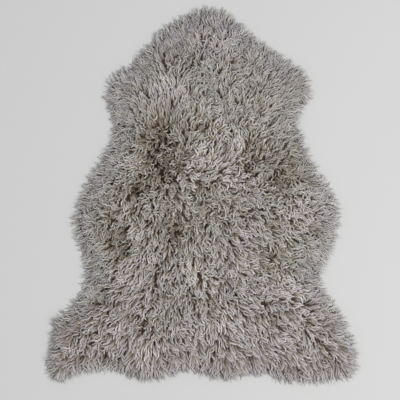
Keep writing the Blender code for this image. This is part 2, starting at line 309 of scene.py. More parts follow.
# %% The combing table
COMBING = (
    # place, x and y in mm, bearing of the tips in degrees from +X towards +Y, tangle
    ("neck crown", 0, 460, 88, 0.5),
    ("neck left", -87, 399, 100, 0.5),
    ("neck right", 98, 392, 65, 0.65),
    ("left shoulder, outer", -206, 302, 140, 0.5),
    ("left shoulder, inner", -167, 254, 132, 0.2),
    ("above the whorl", -108, 233, 97, 0.15),
    ("above the whorl, right", -48, 228, 68, 0.4),
    ("between the shoulders", 5, 307, 70, 0.6),
    ("between the shoulders, right", 111, 280, 68, 0.5),
    ("right shoulder, inner", 190, 267, 45, 0.4),
    ("right shoulder, outer", 257, 286, 30, 0.5),
    ("left armpit", -214, 169, 180, 0.7),
    ("left of the whorl", -180, 122, 195, 0.8),
    ("right armpit", 230, 188, 15, 0.8),
    ("chest", 58, 148, 70, 0.5),
    ("chest, right", 164, 135, 52, 0.5),
    ("chest, middle", 5, 122, 60, 0.4),
    ("left side", -246, 42, 195, 0.5),
    ("back, left", -180, 29, 222, 0.9),
    ("back, left of the middle", -101, 3, 262, 0.9),
    ("back, middle", -34, -24, 280, 0.9),
    ("back, right of the middle", 58, -11, 312, 0.7),
    ("right parting", 177, 63, 10, 0.9),
    ("right side", 230, 16, 320, 0.9),
    ("right side, outer", 323, -11, 345, 0.5),
    ("left belly", -299, -50, 190, 0.8),
    ("left flank", -220, -103, 218, 0.6),
    ("left flank, inner", -140, -130, 235, 0.45),
    ("flank, middle", -74, -143, 272, 0.5),
    ("flank, right of the middle", 32, -116, 295, 0.4),
    ("right flank", 151, -116, 325, 0.35),
    ("right belly", 283, -103, 325, 0.35),
    ("left waist", -286, -209, 200, 0.8),
    ("left loin", -193, -235, 225, 0.3),
    ("loin, middle", -87, -249, 280, 0.55),
    ("loin, right of the middle", 32, -249, 300, 0.5),
    ("right loin", 177, -235, 340, 0.6),
    ("right waist", 283, -235, 2, 0.6),
    ("left thigh, outer", -373, -368, 200, 0.7),
    ("left thigh", -312, -368, 235, 0.7),
    ("rump, left", -220, -354, 232, 0.2),
    ("whorl on the left rump", -125, -338, 270, 0.85),
    ("rump, left of the middle", -153, -407, 258, 0.25),
    ("rump, middle", -87, -381, 300, 0.3),
    ("rump, right of the middle", -8, -394, 288, 0.2),
    ("rump, right", 98, -381, 302, 0.2),
    ("right thigh", 230, -368, 312, 0.25),
    ("right thigh, outer", 357, -341, 345, 0.4),
    ("left hind leg", -378, -455, 228, 0.1),
    ("lower edge, left", -246, -447, 250, 0.7),
    ("lower edge, left of the middle", -140, -474, 272, 0.4),
    ("lower edge, middle", -8, -474, 280, 0.6),
    ("lower edge, right of the middle", 151, -460, 312, 0.2),
    ("lower edge, right", 310, -466, 305, 0.35),
    ("right hind leg", 394, -447, 308, 0.3),
)
COMBING_SPREAD = 45 * MM  # how far a row holds before its neighbours take over

# %% The combing at any place
def combed(places):
    """The bearing of the tips at each place, in radians, and how tangled the wool is."""
    total, tangle = np.zeros((len(places), 2)), np.zeros(len(places))
    weights = np.zeros(len(places))
    for _, x, y, degrees, tangled in COMBING:
        apart = np.hypot(places[:, 0] - x * MM, places[:, 1] - y * MM) / COMBING_SPREAD
        weight = 1 / (0.15 + apart**4)  # 0.15 rounds off its peak
        bearing = math.radians(degrees)
        total += weight[:, None] * np.array([math.cos(bearing), math.sin(bearing)])
        tangle += weight * tangled
        weights += weight
    return np.arctan2(total[:, 1], total[:, 0]), tangle / weights


def rolling(places, size, seed):
    """Slow random change from place to place, about -1 to 1, over a given size."""
    layer = seed * 7.3  # each seed reads the noise at a level of its own
    values = [noise.noise(Vector((x / size, y / size, layer))) for x, y in places]
    return np.array(values) * 1.6  # the noise itself stays within about 0.6


row_tangle = combed(np.array([(x * MM, y * MM) for _, x, y, *_ in COMBING]))[1]
print("the wool is tangled from", row_tangle.min().round(2), "to", row_tangle.max().round(2))

# %% [markdown]
# ## The skin
#
# Under the wool lies the tanned skin, 2 mm of leather with its flesh side down. The wool at its
# edge reaches about 34 mm further out. It shows from below alone, and there it has to look cut from
# one hide: a flat sheet with a clean edge. A circle of points moved onto the inset outline makes
# the sheet, and a Solidify modifier gives it its thickness.

# %% Cut the skin
SKIN_INSET = 34 * MM
SKIN_THICKNESS = 2 * MM
skin_loop = inset_loop(SKIN_INSET, 260)
bm = bmesh.new()
bmesh.ops.create_circle(bm, cap_ends=True, segments=len(skin_loop), radius=1)
for corner, (x, y) in zip(bm.verts, skin_loop[::-1]):
    corner.co = (x, y, 0)
skin_area = sum(face.calc_area() for face in bm.faces)
bmesh.ops.triangulate(bm, faces=bm.faces)
bmesh.ops.recalc_face_normals(bm, faces=bm.faces)
skin_mesh = bpy.data.meshes.new("skin")
bm.to_mesh(skin_mesh)
bm.free()
skin = bpy.data.objects.new("skin", skin_mesh)
bpy.context.scene.collection.objects.link(skin)
thickness = skin.modifiers.new("skin thickness", "SOLIDIFY")
thickness.thickness = SKIN_THICKNESS
skin_facing = skin_mesh.polygons[0].normal.z
thickness.offset = 1 if skin_facing > 0 else -1
print("skin", round(skin_area, 3), "m2, facing", skin_facing)

# %% [markdown]
# ## The undercoat
#
# Between the long locks a pelt is packed with short dense wool, which shows at the bottom of each
# gap. Its dark brown is partly the wool's own colour and partly painted shade. It also closes the
# fleece, so that no gap looks through to the floor.
# Rings of edges are extruded inwards from the rim towards the spine, and each point is raised to
# the height of the wool there. Its surface is lumpy, with pits where the wool parts. A second table
# holds those places, and the places where the wool is fuller than elsewhere. Each point also keeps
# a value called shade, which its material reads as painted shade and light: high in the pits, which
# it paints darker, and low at the rim, which it paints paler.

# %% The height of the undercoat
UNDERCOAT_RIM, UNDERCOAT_TOP = 4 * MM, 17 * MM
UNDERCOAT_INSET = 13 * MM  # its edge, in from the outline
SHOULDER_WIDTH = 62 * MM  # how far in from its edge the undercoat reaches its full height
SWELL, SWELL_SIZE = 3 * MM, 95 * MM  # how high, and from one to the next
LUMP, LUMP_SIZE = 2.5 * MM, 22 * MM
PIT_DEPTH = 9 * MM
RIM_END, RIM_FADE = 95 * MM, 60 * MM  # where the wool of the rim ends, and how slowly
OPEN_PLACES_MM = (
    # place, x, y, radius, how open the wool is: above 0 it parts, below 0 it is fuller than usual
    ("whorl behind the left shoulder", -116, 116, 38, 2.0),
    ("above the whorl", -112, 180, 24, 1.1),
    ("below the whorl", -90, 55, 34, 1.1),
    ("left of the whorl, low", -150, 25, 30, 0.3),
    ("parting on the chest, right", 118, 80, 24, 1.3),
    ("parting on the chest, right high", 146, 128, 20, 0.8),
    ("parting on the chest, high", 16, 182, 20, 0.8),
    ("parting on the right side", 200, 45, 38, 0.4),
    ("right of the back", 190, -74, 26, 0.3),
    ("back, middle", -29, -8, 24, 0.6),
    ("middle of the back", -82, -111, 32, 0.7),
    ("left flank", -233, -114, 26, 0.4),
    ("left flank, low", -222, -158, 22, 0.6),
    ("right belly", 305, -103, 22, 0.5),
    ("nape", -24, 378, 30, 0.35),
    ("loin", 32, -296, 24, 0.6),
    ("left flank, high", -180, -3, 24, 0.8),
    ("right flank", 183, -156, 24, 0.6),
    ("loin, left", -98, -270, 24, 0.5),
    ("left thigh, top", -270, -283, 26, 0.6),
    ("whorl on the left rump", -162, -350, 36, 0.2),
    ("left rump, low", -258, -440, 24, 1.2),
    ("right rump", 188, -331, 28, 0.3),
    ("right hind leg", 336, -452, 24, 0.8),
    ("chest", 13, 111, 32, -2.1),
    ("chest, right", 98, 148, 26, -1.9),
    ("chest, high", 42, 198, 22, -1.3),
    ("back, top", 32, 82, 22, -1.5),
    ("back, upper", -32, 56, 26, -2.0),
    ("back, upper right", 80, 50, 24, -1.9),
    ("left side", -200, 95, 28, -0.7),
    ("right side", 267, -29, 26, -1.6),
    ("left flank, inner", -188, -101, 22, -1.0),
    ("left loin", -203, -222, 34, -0.7),
    ("loin, middle", -19, -214, 30, -1.8),
    ("right waist", 251, -254, 26, -1.3),
    ("loin, left, low", -151, -283, 24, -1.0),
    ("left rump, lower", -238, -415, 20, -0.8),
    ("left rump", -164, -426, 32, -2.1),
    ("left thigh", -228, -362, 22, -1.4),
    ("rump, middle", 48, -342, 28, -1.9),
    ("neck, right", 63, 423, 26, -1.5),
    ("shoulders, left", -95, 315, 34, -1.3),
)


def near_rim(places):
    """1 at the rim of the rug, falling to 0 where the wool of the rim ends."""
    return np.clip((RIM_END - from_rim(places)) / RIM_FADE, 0, 1)


def openness(places):
    """How open the wool is at each place: above 0 it parts, below 0 it is fuller than usual."""
    total = np.zeros(len(places))
    for _, x, y, radius, how_open in OPEN_PLACES_MM:
        away = np.hypot(places[:, 0] - x * MM, places[:, 1] - y * MM) / (radius * MM)
        total += how_open * np.exp(-(away**2))
    return np.clip(total, -2.2, 2)  # where places overlap


def undercoat_height(places):
    """The height of the dense wool's surface: a rounded shoulder, swells, lumps and pits."""
    rise = np.clip((from_rim(places) - UNDERCOAT_INSET) / SHOULDER_WIDTH, 0, 1)
    shoulder = np.sin(rise * math.pi / 2) ** 0.8
    swell = SWELL * rolling(places, SWELL_SIZE, 1) + LUMP * rolling(places, LUMP_SIZE, 2)
    pits = PIT_DEPTH * np.clip(openness(places), 0, 1)
    return UNDERCOAT_RIM + shoulder * (UNDERCOAT_TOP - UNDERCOAT_RIM + swell - pits)


# %% Raise the undercoat ring by ring
SPINE_END = 330 * MM  # the rings close in on the spine, up to here from the middle
RING_COUNT, RING_POINTS = 36, 300
LAST_RING = 0.97  # how far the last ring is on its way to the spine
UNDERCOAT_BASE = 2.3 * MM  # just above the skin
rim_loop = inset_loop(UNDERCOAT_INSET, RING_POINTS)
spine = np.stack([0 * rim_loop[:, 0], np.clip(rim_loop[:, 1], -SPINE_END, SPINE_END)], axis=1)
bm = bmesh.new()
number = bm.verts.layers.int.new("number round the rim")
shade = bm.verts.layers.float.new("shade")
bmesh.ops.create_circle(bm, segments=len(rim_loop), radius=1)
for i, corner in enumerate(bm.verts):
    corner[number], corner[shade] = i, -1
    corner.co = (*rim_loop[i], UNDERCOAT_BASE)
base_edges = list(bm.edges)
edges = base_edges
for inward in np.linspace(0, LAST_RING, RING_COUNT):
    ring = rim_loop + (spine - rim_loop) * inward
    heights = undercoat_height(ring)
    # painted shade for the material: high in open places, lower in full places, lowest at the rim
    shades = np.clip(openness(ring), -1, 1) - near_rim(ring)
    made = bmesh.ops.extrude_edge_only(bm, edges=edges)["geom"]
    for corner in (part for part in made if isinstance(part, bmesh.types.BMVert)):
        i = corner[number]
        corner.co = (*ring[i], heights[i])
        corner[shade] = shades[i]
    edges = [part for part in made if isinstance(part, bmesh.types.BMEdge)]
    edges = [edge for edge in edges if edge.is_boundary]
bmesh.ops.holes_fill(bm, edges=edges)
bmesh.ops.holes_fill(bm, edges=base_edges)
bmesh.ops.triangulate(bm, faces=bm.faces)
bmesh.ops.recalc_face_normals(bm, faces=bm.faces)
print("undercoat", len(bm.faces), "triangles, open edges", sum(e.is_boundary for e in bm.edges))
undercoat_mesh = bpy.data.meshes.new("undercoat")
bm.to_mesh(undercoat_mesh)
bm.free()
undercoat_mesh.shade_smooth()
undercoat = bpy.data.objects.new("undercoat", undercoat_mesh)
bpy.context.scene.collection.objects.link(undercoat)

# %% [markdown]
# ## Where the locks grow
#
# The fibres of wool hold together in locks, and neighbouring locks in staples, which share their
# direction and their rhythm of waves. So there is a staple about every 12 mm and a lock every 7 mm,
# and each lock belongs to the nearest staple. Both stand on a net of triangles, shaken so that no
# rows show. The rim has more rows of both, because its wool also has to cover the edge of the skin,
# and a second net makes the fleece denser on the shoulders and the neck.

# %% Nets of staples and of locks
rng = np.random.default_rng(11)
NET_HALF_WIDTH, NET_HALF_LENGTH = 0.42, 0.5  # a little more than the rug has
STAPLE_SPACING, LOCK_SPACING = 11.5 * MM, 6.8 * MM
EXTRA_SPACING, EXTRA_FROM = 9.5 * MM, 200 * MM  # the second net, and where it starts
RIM_SHAKE = 4 * MM


def shaken_net(spacing, shake, inset):
    """Places all over the rug, inside its rim by the inset, moved by a share of their spacing."""
    row_step = spacing * math.sqrt(3) / 2
    half_rows = round(NET_HALF_LENGTH / row_step)
    half_columns = round(NET_HALF_WIDTH / spacing)
    rows, columns = np.meshgrid(
        np.arange(-half_rows, half_rows + 1),
        np.arange(-half_columns, half_columns + 1),
        indexing="ij",
    )
    net = np.stack([spacing * (columns + (rows % 2) / 2), row_step * rows], axis=-1).reshape(-1, 2)
    net = net + rng.uniform(-shake, shake, net.shape) * spacing
    return net[from_rim(net) > inset]


def rim_rows(rows):
    """Shaken places along the outline, from rows of (how far inside in mm, how many)."""
    lines = [inset_loop(inset * MM, number) for inset, number in rows]
    return np.vstack([line + rng.uniform(-RIM_SHAKE, RIM_SHAKE, line.shape) for line in lines])


inner_staples = shaken_net(STAPLE_SPACING, 0.42, SKIN_INSET + 3 * MM)
staples = np.vstack([inner_staples, rim_rows([(36, 260), (44, 240), (53, 220)])])
inner_roots = shaken_net(LOCK_SPACING, 0.33, SKIN_INSET)
extra_roots = shaken_net(EXTRA_SPACING, 0.4, SKIN_INSET)
extra_roots = extra_roots[extra_roots[:, 1] > EXTRA_FROM]
rim_roots = rim_rows([(35, 420), (41, 420), (48, 400), (56, 380)])
roots = np.vstack([inner_roots, extra_roots, rim_roots])

tree = KDTree(len(staples))
for i, (x, y) in enumerate(staples):
    tree.insert((x, y, 0), i)
tree.balance()
owner = np.array([tree.find((x, y, 0))[1] for x, y in roots])
print(len(staples), "staples and", len(roots), "locks")

# %% [markdown]
# ## Outwards at the rim
#
# Near the rim the wool turns towards it, whatever the combing is further in. The way to the rim is
# the slope of the distance from it.

# %% Turn towards the rim
def toward_rim(places, bearings, pull):
    """The bearings, turned towards the nearest part of the outline by a share of the way."""
    step = 1 * MM
    slope = np.stack(
        [from_rim(places + shift) - from_rim(places - shift) for shift in step * np.eye(2)], axis=1
    )
    slope /= np.maximum(np.linalg.norm(slope, axis=1), 1e-9)[:, None]
    ahead = np.stack([np.cos(bearings), np.sin(bearings)], axis=1)
    ahead = ahead * (1 - pull)[:, None] - slope * pull[:, None]
    return np.arctan2(ahead[:, 1], ahead[:, 0])


outwards = toward_rim(np.array([(0.2, 0.0)]), np.zeros(1), np.ones(1))
print("from 200 mm right of the middle the rim is at", round(math.degrees(outwards[0])), "degrees")

# %% [markdown]
# ## How a lock lies
#
# A lock rises out of the undercoat, leans over in the combed direction and ends nearly flat. On the
# way it swings from side to side, which is the crimp of the wool. So a lock is a path: at each step
# it has a bearing and a slope, and adding up the steps gives its points. All locks are worked out
# at once, as arrays with one row for each lock.

# %% The path of many locks at once
def lock_paths(roots, bearing, length, rise, fall, bend, swing, wave, phase, steps):
    """Points along each lock from its root to its tip, as an array of locks, points and x, y, z."""
    values = (bearing, length, rise, fall, bend, swing, wave, phase)
    bearing, length, rise, fall, bend, swing, wave, phase = (np.array(v)[:, None] for v in values)
    way = (np.arange(steps) + 0.5) / steps  # from 0 at the root to 1 at the tip
    lean = np.clip(way * 1.5, 0, 1)  # leant over by two thirds of the way
    lean = lean * lean * (3 - 2 * lean)
    turns = 2 * math.pi * way * length / wave + phase
    sway = swing * (0.35 + 0.65 * np.clip(way * 2, 0, 1))  # a third at the root, all by half way
    heading = bearing + bend * way**1.3 + sway * np.sin(turns)
    slope = rise + (fall - rise) * lean + 0.35 * sway * np.cos(turns * 0.93)  # some up and down
    step = length / steps
    strides = np.stack(
        [
            np.cos(heading) * np.cos(slope) * step,
            np.sin(heading) * np.cos(slope) * step,
            np.sin(slope) * step,
        ],
        axis=-1,
    )
    points = np.concatenate([np.zeros((len(strides), 1, 3)), np.cumsum(strides, axis=1)], axis=1)
    return points + np.asarray(roots)[:, None, :]


# %% [markdown]
# ## From a path to a mesh
#
# Seen close, a lock is a tapered bundle of fibres, wider than it is high, with a ridge along its
# back. Three corners round the path at each step are enough for that, with smooth shading between
# them, and one point closes the tip. A lock of eight sections is 46 triangles. There are thousands
# of them, so their corners and faces are worked out as arrays too.
#
# The wool's colours are laid out as a chart: a column for each tone, and rows from the brown root
# at 0 to the bleached tip at 1. Each lock has its column, and the rows where it starts and ends.

# %% Mesh the locks
CORNERS = np.array([(1.0, -0.35), (-1.0, -0.35), (0.0, 0.75)])  # across and up, in half widths
WIDEST = 0.35  # how far along a lock is at its widest
ROOT_WIDTH, TIP_LOSS = 0.75, 0.62  # its width at the root and what it loses by the tip, as shares
FLOOR_GAP = 0.3 * MM  # no corner of a lock is lower than this
TONES = 48  # columns of the wool's colour chart, one for each tone of lock


def lock_mesh(name, points, width, tone, roll, root_row, tip_row):
    """One mesh of the locks, with a map that puts each on its tone, from root row to tip row."""
    count, sections = points.shape[0], points.shape[1] - 1
    ahead = np.diff(points, axis=1)
    along = ahead.copy()
    along[:, 1:] += ahead[:, :-1]
    along /= np.linalg.norm(along, axis=2)[..., None]
    left = np.stack([-along[..., 1], along[..., 0], 0 * along[..., 0]], axis=-1)
    left /= np.linalg.norm(left, axis=2)[..., None]
    up = np.cross(along, left)
    turn = roll[:, None, None]
    left, up = left * np.cos(turn) + up * np.sin(turn), up * np.cos(turn) - left * np.sin(turn)
    way = np.arange(sections) / sections
    widening = ROOT_WIDTH + (1 - ROOT_WIDTH) * way / WIDEST
    thinning = np.clip((way - WIDEST) / (1 - WIDEST), 0, 1)
    taper = np.where(way < WIDEST, widening, 1 - TIP_LOSS * thinning**1.7)
    half = (width[:, None] * taper / 2)[..., None, None]
    rings = points[:, :-1, None] + half * (
        CORNERS[:, :1] * left[:, :, None] + CORNERS[:, 1:] * up[:, :, None]
    )
    corners = np.concatenate([rings.reshape(count, -1, 3), points[:, -1:]], axis=1)
    corners[..., 2] = np.maximum(corners[..., 2], FLOOR_GAP)

    ring = 3 * np.arange(sections - 1)[:, None]
    a, b = np.array([0, 1, 2]), np.array([1, 2, 0])
    sides = np.stack([ring + b, ring + a, ring + 3 + a, ring + 3 + b], axis=-1).reshape(-1, 4)
    last = 3 * (sections - 1)
    ends = np.stack([last + b, last + a, 0 * a + 3 * sections], axis=-1)
    ends = np.vstack([[[0, 1, 2]], ends])
    first = (np.arange(count) * (3 * sections + 1))[:, None, None]
    faces = (first + sides).reshape(-1, 4).tolist() + (first + ends).reshape(-1, 3).tolist()
    mesh = bpy.data.meshes.new(name)
    mesh.from_pydata(corners.reshape(-1, 3), [], faces)
    mesh.shade_smooth()

    across = np.tile([0.25, 0.75, 0.5], sections)  # its two sides and its ridge, in a column
    u = (tone[:, None] + np.append(across, 0.5)) / TONES
    v = root_row[:, None] + (tip_row - root_row)[:, None] * np.append(np.repeat(way, 3), 1.0)
    v = 0.02 + 0.96 * v  # a little inside the edges of the chart
    chart = np.stack([u, np.broadcast_to(v, u.shape)], axis=-1).reshape(-1, 2)
    corner_of_loop = np.empty(len(mesh.loops), int)
    mesh.loops.foreach_get("vertex_index", corner_of_loop)
    uv = mesh.uv_layers.new(name="OFBake")
    uv.data.foreach_set("uv", chart[corner_of_loop].astype(np.float32).ravel())
    piece = bpy.data.objects.new(name, mesh)
    bpy.context.scene.collection.objects.link(piece)
    return piece


# %% [markdown]
# ## Growing the fleece
#
# The staples get their character first: a bearing from the combing and some chance, a length, a
# slope and a rhythm of waves. Tangled wool turns and swings more. Towards the rim the wool lies
# flatter and points outwards: it is fine at the front, and coarse on the hindquarters, where it is
# longer and straighter. In open places it is shorter, lower and browner. A lock covers what lies
# 22 mm ahead of its root, so that is where it asks how open the wool should be.

# %% Bearing of every staple
COVER = 22 * MM
SHOULDERS_FROM, HINDQUARTERS_FROM, FADE = 0.18, -0.22, 0.10  # up and down the rug, in metres
bearing, tangle = combed(staples)
opened = openness(staples + COVER * np.column_stack([np.cos(bearing), np.sin(bearing)]))
parted = np.clip(opened, 0, 1)
depth_in = from_rim(staples)
nearness = near_rim(staples)
rump = np.clip((HINDQUARTERS_FROM - staples[:, 1]) / FADE, 0, 1)  # 1 there, 0 further forward
front = np.clip((staples[:, 1] - SHOULDERS_FROM) / FADE, 0, 1)  # 1 there and on the neck
fine, coarse = nearness * (1 - rump), nearness * rump
tangle = np.clip(1.35 * tangle + 0.3 * rolling(staples, 35 * MM, 3) + 0.3 * parted, 0, 1)
bearing = toward_rim(staples, bearing, 0.55 * fine + 0.25 * coarse)
# chance turns whole tufts of staples together, smaller tufts, and then each staple
bearing += np.radians(5 + 32 * tangle) * rolling(staples, 60 * MM, 7)
bearing += np.radians(12 + 55 * tangle**2) * rolling(staples, 24 * MM, 8)
bearing += np.radians(8 + 12 * tangle) * rng.normal(0, 1, len(staples))
print("mean tangle", round(float(tangle.mean()), 2))

# %% Length, slope and waves of every staple
staple_length = rng.uniform(31 * MM, 44 * MM, len(staples)) * (
    1 - 0.2 * parted + 0.25 * coarse - 0.12 * front * (1 - nearness)
)
staple_rise = np.radians(48 - 24 * nearness)
staple_fall = np.radians(4 - 20 * nearness + 8 * tangle + rng.normal(0, 6, len(staples)))
staple_bend = rng.normal(0, 1, len(staples)) * (0.3 + 0.6 * tangle)
staple_swing = rng.uniform(0.8, 1.2, len(staples)) * (0.18 + 0.6 * tangle) * (1 - 0.4 * coarse)
staple_wave = rng.uniform(15 * MM, 23 * MM, len(staples)) * (1 - 0.15 * tangle - 0.25 * fine)
staple_phase = rng.uniform(0, 2 * math.pi, len(staples))
staple_height = undercoat_height(staples) - 4 * MM * (1 - nearness + np.clip(opened, -1, 1))
staple_reach = rng.uniform(-14 * MM, 7 * MM, len(staples))  # past the outline, or short of it
print("mean height of the roots", round(float(staple_height.mean() / MM), 1), "mm")

# %% [markdown]
# Each lock has what its staple has, with a little chance of its own. Three in ten lie on top: they
# are longer than the rest and follow their staple more closely. A lock that would pass the outline
# is cut shorter, and where the wool parts there are fewer locks.

# %% Roots and lengths of the locks
grows = rng.random(len(owner)) > 0.5 * parted[owner]
roots, owner = roots[grows], owner[grows]
count = len(owner)
on_top = rng.random(count) < 0.3
own_height = np.where(on_top, 2.5 * MM, rng.uniform(-2.5 * MM, 0.5 * MM, count))
lock_root = np.column_stack([roots, staple_height[owner] + own_height])
loose = np.where(on_top, 0.3, 1) * np.radians(6 + 16 * tangle[owner])
lock_bearing = bearing[owner] + rng.normal(0, 1, count) * loose
lock_length = staple_length[owner] * np.where(on_top, 1.0, rng.uniform(0.75, 1.0, count))
REACH_OF_LENGTH = 0.80  # how far over the floor a lock of length 1 reaches
SHORTEST = 16 * MM
room = room_ahead(roots, lock_bearing) + staple_reach[owner] + rng.uniform(-6 * MM, 0, count)
lock_length = np.clip(np.minimum(lock_length, room / REACH_OF_LENGTH), SHORTEST, None)
print(count, "locks, mean length", round(float(lock_length.mean() / MM)), "mm")

# %% Paths of the locks
STEPS = 8  # sections of a lock
lock_phase = staple_phase[owner] + rng.normal(0, 0.4, count) * (1 + 2 * tangle[owner])
paths = lock_paths(
    lock_root, lock_bearing, lock_length, staple_rise[owner] + rng.normal(0, 0.12, count),
    staple_fall[owner] + rng.normal(0, 0.10, count),
    staple_bend[owner] + rng.normal(0, 0.25, count), staple_swing[owner],
    staple_wave[owner], lock_phase, STEPS,
)

# %% [markdown]
# The tips of one staple stick together. So the path that a lock would have in the middle of its
# staple is worked out too, and the lock is drawn to it, not at its root but more and more towards
# its tip.

# %% Draw the tips of a staple together
middles = lock_paths(
    np.column_stack([staples, staple_height])[owner], bearing[owner], lock_length,
    staple_rise[owner], staple_fall[owner], staple_bend[owner], staple_swing[owner],
    staple_wave[owner], staple_phase[owner], STEPS,
)
gather = 0.4 * (1 - 0.5 * tangle) + 0.25 * nearness
drawn = gather[owner][:, None] * (np.arange(STEPS + 1) / STEPS) ** 1.5
paths = paths + (middles - paths) * drawn[..., None]
print("the tips are drawn in by up to", round(float(drawn.max()), 2), "of the way")

# %% [markdown]
# Where the wool parts, all locks lean away and leave a bald strip. On the real pelt short upright
# curls fill it. So the points of the locks are counted on a grid of small squares, and each thin
# square gets a few short locks that point anywhere.

# %% Fill the bald spots
SQUARE = 9 * MM
FULL_SQUARE = 9  # points of locks in it that leave nothing bald
POINTS_OF_CURL, MOST_CURLS = 3, 3
grid_lines = [np.arange(low, high, SQUARE) for low, high in ((-0.45, 0.45), (-0.52, 0.52))]
upper = paths[:, STEPS // 3 :]
filled, *_ = np.histogram2d(upper[..., 0].ravel(), upper[..., 1].ravel(), bins=grid_lines)
centres = [lines[:-1] + SQUARE / 2 for lines in grid_lines]
squares = np.stack(np.meshgrid(*centres, indexing="ij"), axis=-1).reshape(-1, 2)
near = sum(np.roll(filled, (i, j), axis=(0, 1)) for i in (-1, 0, 1) for j in (-1, 0, 1)) / 9
usual = np.median(near.ravel()[from_rim(squares) > SKIN_INSET])
print("a square usually has", round(float(usual)), "points of locks")
wanted = np.where(from_rim(squares) > SKIN_INSET + 10 * MM, FULL_SQUARE, 0)
short_of = np.clip((wanted - near.ravel()) / POINTS_OF_CURL, 0, MOST_CURLS).round().astype(int)
curl_root = np.repeat(squares, short_of, axis=0)
curls = len(curl_root)
curl_root = curl_root + rng.uniform(-SQUARE / 2, SQUARE / 2, (curls, 2))
curl_height = undercoat_height(curl_root) - 3 * MM
curl_length = rng.uniform(20 * MM, 30 * MM, curls)
curl_paths = lock_paths(
    np.column_stack([curl_root, curl_height]), rng.uniform(0, 2 * math.pi, curls), curl_length,
    np.radians(rng.uniform(40, 70, curls)), np.radians(rng.uniform(-10, 25, curls)),
    rng.normal(0, 0.7, curls), rng.uniform(0.5, 1.0, curls), rng.uniform(15 * MM, 20 * MM, curls),
    rng.uniform(0, 2 * math.pi, curls), STEPS,
)
print(curls, "short curls")

# %% [markdown]
# Gravity has the last word: no part of a lock goes through the floor, and at the rim the locks lie
# on each other in layers, some low and some high.

# %% Lay the locks down on the floor
layer = rng.uniform(0, 6.6 * MM, count) * np.clip(depth_in[owner] / (50 * MM), 0.2, 1) + 1.5 * MM
paths[..., 2] = np.maximum(paths[..., 2], layer[:, None])
paths = np.concatenate([paths, curl_paths])
print("highest tip", round(float(paths[..., 2].max() / MM)), "mm")

# %% [markdown]
# ## Width and tone of every lock
#
# The wool of a pelt has families of tone side by side, grey, beige and brown, each from dark to
# pale. Grey is at both ends, most of all at the rim of the hindquarters, and brown is in the middle
# and where the wool parts. Open places get painted shade: their locks are darker and their tips
# less pale. Full places get painted light and are paler. Painted shade also darkens the rim, the
# shoulders and the neck, and the locks beneath the top ones. The wool of the shoulders, the neck
# and the front rim is finer, and painted light makes even the lower part of a lock pale there.

# %% Width and tone
FAMILIES = 3
tones_in_family = TONES // FAMILIES
fineness = np.maximum(fine, 0.6 * front)
lock_width = rng.uniform(6.0 * MM, 8.4 * MM, count) * (1 - 0.25 * fineness[owner])
staple_tone_and_shade = 0.45 + 0.14 * rolling(staples, 40 * MM, 4) + 0.18 * rolling(staples, 20 * MM, 9)
# painted shade along the rim, most at its front, and on the shoulders and the neck; painted shade
# in open places and painted light in full ones
staple_tone_and_shade = staple_tone_and_shade - 0.36 * fine - 0.22 * coarse - 0.09 * front - 0.28 * opened
# painted light on the locks that lie on top, painted shade on those beneath
tone = staple_tone_and_shade[owner] + np.where(on_top, 0.05, -0.02)
tone += rng.normal(0, 0.15, count) * (1 - 0.4 * np.maximum(front, fine)[owner])
brown = 0.52 + 0.2 * rolling(staples, 90 * MM, 5) + 0.8 * np.clip(opened, -0.2, 1)
brown = brown - 0.05 * fine - 0.25 * coarse - 1.3 * np.abs(staples[:, 1] - 0.06) ** 1.5
family = (brown[owner] + rng.normal(0, 0.12, count)) * FAMILIES
family = np.clip(family, 0, FAMILIES - 0.001).astype(int)
lock_tone = family * tones_in_family + (np.clip(tone, 0, 0.999) * tones_in_family).astype(int)
# painted light: on the front rim, the shoulders and the neck, and a little on the hindquarters'
# rim, the lower part of a lock is drawn paler
root_row = np.maximum(0.7 * fine + 0.1 * coarse, 0.25 * front)[owner]
# painted shade: where the wool parts, the tips are left less pale
tip_row = 1 - 0.35 * parted[owner]
print("locks that are grey, beige and brown:", np.bincount(family))

# %% The same for the curls, and a roll for all
CURL_TONES = (18, 44)  # columns from dark beige to quite pale brown
lock_root = np.vstack([lock_root, curl_paths[:, 0]])
lock_width = np.concatenate([lock_width, rng.uniform(4 * MM, 6 * MM, curls)])
lock_tone = np.concatenate([lock_tone, rng.integers(*CURL_TONES, curls)])
lock_roll = rng.normal(0, 0.35, count + curls)
root_row = np.concatenate([root_row, np.zeros(curls)])
tip_row = np.concatenate([tip_row, np.ones(curls)])

# %% [markdown]
# One mesh of all the locks would be too heavy. So they are sorted from the neck to the rump into
# six zones with as many locks in each, and every zone is a piece of its own.

# %% Split the fleece into zones
ZONES = ("neck", "shoulders", "back", "belly", "loin", "rump")
marks = np.quantile(lock_root[:, 1], np.linspace(1, 0, len(ZONES) + 1)[1:-1])
zone_number = np.digitize(lock_root[:, 1], marks)
wool_pieces = []
for i, zone in enumerate(ZONES):
    here = zone_number == i
    piece = lock_mesh(
        "wool_" + zone, paths[here], lock_width[here], lock_tone[here], lock_roll[here],
        root_row[here], tip_row[here],
    )
    wool_pieces.append(piece)
    print(piece.name, int(here.sum()), "locks")

# %% [markdown]
# ## Wisps at the rim
#
# The rim ends in thin wisps, which reach a little past the locks and point less neatly. They grow
# from the edge of the skin as the locks do, but are half as wide, and they are grey or beige.

